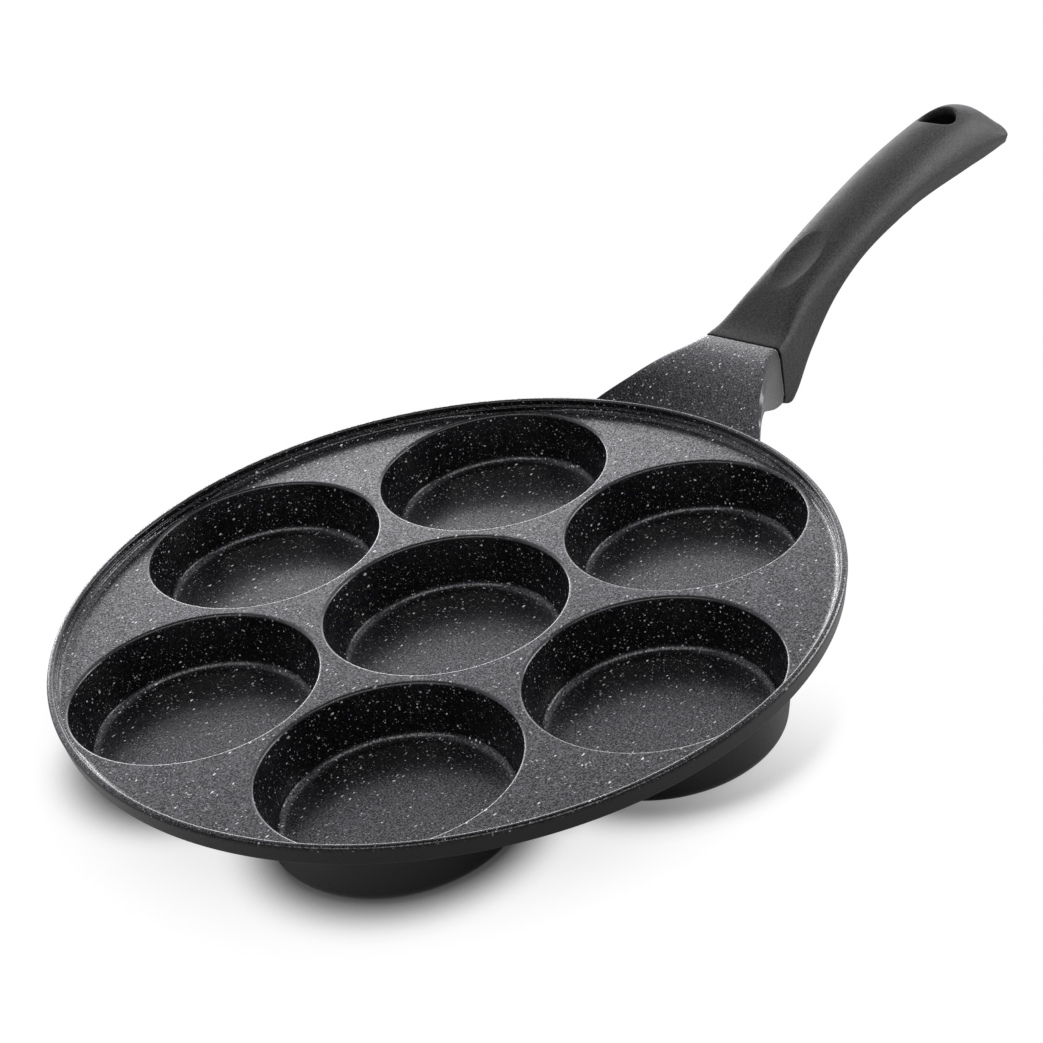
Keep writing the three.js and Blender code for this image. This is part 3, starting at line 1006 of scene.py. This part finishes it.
class Graph:
    """The shader nodes of one material or world."""

    def __init__(self, owner):
        owner.use_nodes = True
        self.tree = owner.node_tree
        self.tree.nodes.clear()

    def node(self, kind, settings, inputs, output=0):
        made = self.tree.nodes.new(kind)
        for name, value in settings.items():
            setattr(made, name, value)
        for name, value in inputs.items():
            if isinstance(value, Signal):
                self.tree.links.new(value.socket, made.inputs[name])
            else:
                made.inputs[name].default_value = value
        return Signal(self, made.outputs[output]) if made.outputs else None

    def shaders(self, share, first, second):
        """A blend of two shaders."""
        return self.node("ShaderNodeMixShader", {}, {0: share, 1: first, 2: second})

    def colours(self, share, first, second):
        """A blend of two colours."""
        return self.node("ShaderNodeMix", {"data_type": "RGBA"}, {0: share, 6: first, 7: second}, 2)

    def place(self):
        return self.node("ShaderNodeTexCoord", {}, {}, "Object")

    def noise(self, place, size, detail=2.0, output="Fac"):
        return self.node(
            "ShaderNodeTexNoise", {}, {"Vector": place, "Scale": 1 / size, "Detail": detail}, output,
        )

    def shaken(self, place, size, reach):
        """Places pushed about by noise, which makes round marks ragged."""
        push = self.noise(place, size, 1.0, "Color")
        half = (0.5, 0.5, 0.5)
        centred = self.node("ShaderNodeVectorMath", {"operation": "SUBTRACT"}, {0: push, 1: half})
        return self.node(
            "ShaderNodeVectorMath", {"operation": "MULTIPLY_ADD"},
            {0: centred, 1: (reach, reach, reach), 2: place},
        )

    def scaled(self, place, factors):
        return self.node("ShaderNodeVectorMath", {"operation": "MULTIPLY"}, {0: place, 1: factors})

    def bump(self, height, strength, distance_along):
        return self.node(
            "ShaderNodeBump", {},
            {"Height": height, "Strength": strength, "Distance": distance_along}, "Normal",
        )

    def surface(self, inputs):
        self.finish(self.node("ShaderNodeBsdfPrincipled", {}, inputs))

    def finish(self, shader, kind="ShaderNodeOutputMaterial"):
        self.node(kind, {}, {"Surface": shader})


def opaque(value):
    """A colour property as a shader's four values."""
    return (*value, 1.0)


def grey(value):
    """A grey as a shader's four values."""
    return (value, value, value, 1.0)


def flecks(graph, place, cell, smallest, largest, present):
    """A mask of flecks, at most one to a cell, and a shade for each."""
    away = graph.node("ShaderNodeTexVoronoi", {}, {"Vector": place, "Scale": 1 / cell}, "Distance")
    draws = graph.node("ShaderNodeSeparateColor", {}, {"Color": away.output("Color")}, "Red")
    size = smallest + (largest - smallest) * draws ** FLECK_RARITY
    there = draws.output("Green") < present
    mask = (size - away).step(-FLECK_EDGE, FLECK_EDGE) * there
    return mask, FLECK_DULLEST + (1 - FLECK_DULLEST) * draws.output("Blue")


def flecked_coating(finish):
    """Satin coating with pale flecks inside, plain outside: the corners' shares say which."""
    material = bpy.data.materials.new("flecked coating")
    graph = Graph(material)
    place = graph.place()
    ragged = graph.shaken(place, RAGGED_SIZE, RAGGED_REACH)
    share = graph.node("ShaderNodeAttribute", {"attribute_name": "share"}, {}, "Fac")
    grain = graph.noise(place, COAT_GRAIN, 3.0).step(*COAT_GRAIN_STEP)
    ground = graph.colours(grain, opaque(finish.coat), opaque(finish.dust))
    paint = graph.colours(share, opaque(finish.outside), ground)
    for cell, stretch, smallest, largest, present, glow in FLECK_LAYERS:
        spread = graph.scaled(ragged, stretch)
        mask, shade = flecks(graph, spread, cell, smallest, largest, present)
        paint = graph.colours(mask * shade * share * glow, paint, opaque(finish.fleck))
    drift = graph.noise(place, COAT_DRIFT)
    peel = graph.noise(place, COAT_GRAIN)
    graph.surface({
        "Base Color": paint,
        "Roughness": finish.coat_gloss - 0.06 + 0.12 * drift,
        "Specular IOR Level": 0.14,
        "Specular Tint": (0.96, 0.95, 1.0, 1.0),
        "Coat Weight": 0.52 + 0.96 * share * (grain - 0.5),
        "Coat Roughness": 0.24,
        "Coat Tint": (0.97, 0.96, 1.0, 1.0),
        "Normal": graph.bump(peel * share, 0.5, 0.08 * MM),
    })
    return material


def grained_phenolic(finish):
    """Matt dark moulding with a fine grain, with painted shade at the seam and inside the hanging hole."""
    material = bpy.data.materials.new("grained phenolic")
    graph = Graph(material)
    place = graph.place()
    grain = graph.noise(place, HANDLE_GRAIN, 3.0).step(*HANDLE_GRAIN_STEP)
    cloud = graph.noise(place, HANDLE_CLOUD, 3.0)
    dark, light = (opaque([tone * value for value in finish.handle]) for tone in HANDLE_TONES)
    # Painted shade: where the share is 1, at the seam and inside the hanging hole, the colour turns near
    # black
    shade = graph.node("ShaderNodeAttribute", {"attribute_name": "share"}, {}, "Fac")
    paint = graph.colours(0.8 * grain + 0.2 * cloud, dark, light)
    graph.surface({
        "Base Color": graph.colours(shade, paint, grey(HANDLE_PAINTED_SHADE)),
        "Roughness": finish.handle_gloss - 0.08 + 0.16 * cloud,
        "Specular IOR Level": 0.17,
        "Normal": graph.bump(grain, 0.6, 0.06 * MM),
    })
    return material


def plated_steel(finish):
    """Zinc plated steel with a faint grain."""
    material = bpy.data.materials.new("plated steel")
    graph = Graph(material)
    place = graph.place()
    grain = graph.noise(place, STEEL_GRAIN)
    cloud = graph.noise(place, STEEL_CLOUD)
    dark = opaque([STEEL_TONE * value for value in finish.steel])
    graph.surface({
        "Base Color": graph.colours(cloud, dark, opaque(finish.steel)),
        "Metallic": 1.0,
        "Roughness": 0.3 + 0.15 * grain,
        "Normal": graph.bump(grain, 0.1, 0.03 * MM),
    })
    return material


def white_floor(studio):
    """Floor that looks white to the camera, with part of the shadow, and is a grey table to the pan."""
    material = bpy.data.materials.new("white floor")
    graph = Graph(material)
    path = graph.node("ShaderNodeLightPath", {}, {}, "Is Camera Ray")
    along = graph.node("ShaderNodeSeparateXYZ", {}, {"Vector": graph.place()}, "X")
    past_shadow = along.step(*SHADOW_FADE)

    def matt(value):
        return graph.node("ShaderNodeBsdfDiffuse", {}, {"Color": grey(value)})

    def even(value):
        return graph.node("ShaderNodeEmission", {}, {"Color": grey(value), "Strength": 1.0})

    table = graph.shaders(along.step(*TABLE_FADE), matt(studio.table), matt(studio.far_table))
    open_sky = graph.node(
        "ShaderNodeAmbientOcclusion", {"samples": CONTACT_SAMPLES}, {"Distance": studio.contact}, "AO",
    )
    clear = open_sky.step(*CONTACT_REACH).lighter(past_shadow)
    contact = graph.shaders(clear, even(CONTACT_SHADE), even(1.0))
    white = graph.shaders(studio.shadow * (1 - past_shadow), contact, matt(1.0))
    graph.finish(graph.shaders(path, table, white))
    return material


def white_sky(world, studio):
    """Surroundings that look white to the camera and light the pan from overhead.

    The pan's gloss shows them bright low behind it, dim before it and dark overhead, with one white
    card before it.
    """
    graph = Graph(world)
    path = graph.node("ShaderNodeLightPath", {}, {}, "Is Camera Ray")
    towards = graph.node("ShaderNodeTexCoord", {}, {}, "Generated")
    height = graph.node("ShaderNodeSeparateXYZ", {}, {"Vector": towards}, "Z")
    back = height.output("X") + height.output("Y")
    in_card = (1 - back.step(*CARD_BEFORE)) * height.step(*CARD_BASE) * (1 - height.step(*CARD_TOP))

    def sky(tint, strength):
        return graph.node("ShaderNodeBackground", {}, {"Color": opaque(tint), "Strength": strength})

    upper = height.step(*CEILING_FADE)
    even = graph.shaders(upper, sky(PLAIN, studio.sky_low), sky(PLAIN, studio.sky_high))
    low = graph.shaders(back.step(*BEHIND), sky(COOL, studio.gloss_front), sky(COOL, studio.gloss_low))
    gloss = graph.shaders(height.step(*SKY_FADE), low, sky(COOL, studio.gloss_high))
    gloss = graph.shaders(in_card, gloss, sky(PLAIN, studio.front_glow))
    light = graph.shaders(path.output("Is Glossy Ray"), even, gloss)
    graph.finish(graph.shaders(path, light, sky(PLAIN, 1.0)), "ShaderNodeOutputWorld")


class EGGPAN_OT_casting(bpy.types.Operator):
    """Build the casting: plate, rim, cups and stem"""

    bl_idname = "egg_pan.casting"
    bl_label = "Casting"

    def execute(self, context):
        scene = context.scene
        shell = CastingForm(scene.egg_pan_casting).build()
        piece = shell.to_object("coated_casting", flecked_coating(scene.egg_pan_finish))
        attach(piece, "root")
        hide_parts("pan_body")
        return {"FINISHED"}


class EGGPAN_OT_handle(bpy.types.Operator):
    """Build the handle with its thumb dimple, hanging hole and screw well"""

    bl_idname = "egg_pan.handle"
    bl_label = "Handle"

    def execute(self, context):
        scene = context.scene
        shell = GripForm(scene.egg_pan_casting, scene.egg_pan_handle).build()
        piece = shell.to_object("moulded_handle", grained_phenolic(scene.egg_pan_finish))
        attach(piece, "root")
        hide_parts("handle_grip")
        return {"FINISHED"}


class EGGPAN_OT_fastening(bpy.types.Operator):
    """Give the screw and its washer their plating"""

    bl_idname = "egg_pan.fastening"
    bl_label = "Fastening"

    def execute(self, context):
        steel = plated_steel(context.scene.egg_pan_finish)
        for name in ("handle_screw", "lock_washer"):
            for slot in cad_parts[name].material_slots:
                slot.material = steel
        return {"FINISHED"}


class EGGPAN_OT_studio(bpy.types.Operator):
    """Set up the floor, the lamps, the surroundings and the camera"""

    bl_idname = "egg_pan.studio"
    bl_label = "Studio"

    def execute(self, context):
        scene = context.scene
        studio = scene.egg_pan_studio
        self.floor(scene, studio)
        self.lamps(scene, studio)
        self.camera(scene, studio)
        scene.world = scene.world or bpy.data.worlds.new("studio")
        white_sky(scene.world, studio)
        scene.view_settings.view_transform = "Standard"
        return {"FINISHED"}

    def floor(self, scene, studio):
        mesh = bpy.data.meshes.new("floor")
        sides = ((-1, -1), (1, -1), (1, 1), (-1, 1))
        mesh.from_pydata([(FLOOR_REACH * x, FLOOR_REACH * y, 0) for x, y in sides], [], [(0, 1, 2, 3)])
        mesh.materials.append(white_floor(studio))
        plane = bpy.data.objects.new("floor", mesh)
        scene.collection.objects.link(plane)
        plane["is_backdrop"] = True

    def lamps(self, scene, studio):
        glows = (studio.back_glow, studio.strip_glow, studio.right_glow)
        for (name, along, azimuth, elevation, away, width, height), glow in zip(LAMPS, glows):
            data = bpy.data.lights.new(name, "AREA")
            data.shape = "RECTANGLE"
            data.size = width
            data.size_y = height
            data.energy = glow * math.pi * width * height
            lamp = bpy.data.objects.new(name, data)
            towards = heading(math.radians(azimuth), math.radians(elevation))
            lamp.location = Vector((along, 0, 0)) + towards * away
            lamp.rotation_euler = towards.to_track_quat("Z", "Y").to_euler()
            lamp.visible_camera = False
            scene.collection.objects.link(lamp)

    def camera(self, scene, studio):
        data = bpy.data.cameras.new("camera")
        data.lens = studio.camera_lens
        data.sensor_width = SENSOR_WIDTH
        azimuth = studio.camera_azimuth
        roll = studio.camera_roll
        level = Vector((math.cos(azimuth), math.sin(azimuth), 0))
        back = heading(azimuth, studio.camera_elevation)
        right = level * math.cos(roll) + back.cross(level) * math.sin(roll)
        turn = Matrix((right, back.cross(right), back)).transposed()
        camera = bpy.data.objects.new("camera", data)
        camera.matrix_world = Matrix.Translation(studio.camera_place) @ turn.to_4x4()
        scene.collection.objects.link(camera)
        scene.camera = camera


class EGGPAN_PT_panel(bpy.types.Panel):
    """The egg pan's steps and sizes"""

    bl_idname = "EGGPAN_PT_panel"
    bl_label = "Egg Pan"
    bl_space_type = "VIEW_3D"
    bl_region_type = "UI"
    bl_category = "Egg Pan"

    def draw(self, context):
        for step in STEPS:
            self.layout.operator(step.bl_idname)
        for name, group in GROUPS.items():
            box = self.layout.box()
            box.label(text=group.__doc__)
            for key in group.__annotations__:
                box.prop(getattr(context.scene, name), key)


GROUPS = {
    "egg_pan_casting": EggPanCasting,
    "egg_pan_handle": EggPanHandle,
    "egg_pan_finish": EggPanFinish,
    "egg_pan_studio": EggPanStudio,
}
STEPS = (EGGPAN_OT_casting, EGGPAN_OT_handle, EGGPAN_OT_fastening, EGGPAN_OT_studio)
CLASSES = (*GROUPS.values(), *STEPS, EGGPAN_PT_panel)


def register():
    for made in CLASSES:
        bpy.utils.register_class(made)
    for name, group in GROUPS.items():
        setattr(bpy.types.Scene, name, PointerProperty(type=group))


def unregister():
    for name in GROUPS:
        delattr(bpy.types.Scene, name)
    for made in reversed(CLASSES):
        bpy.utils.unregister_class(made)


def main():
    register()
    bpy.ops.egg_pan.casting()
    bpy.ops.egg_pan.handle()
    bpy.ops.egg_pan.fastening()
    bpy.ops.egg_pan.studio()
    boxes = {"cad": cad_box, "visual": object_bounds()}
    {name: [list(corner) for corner in box] for name, box in boxes.items()}


if __name__ == "__main__":
    main()
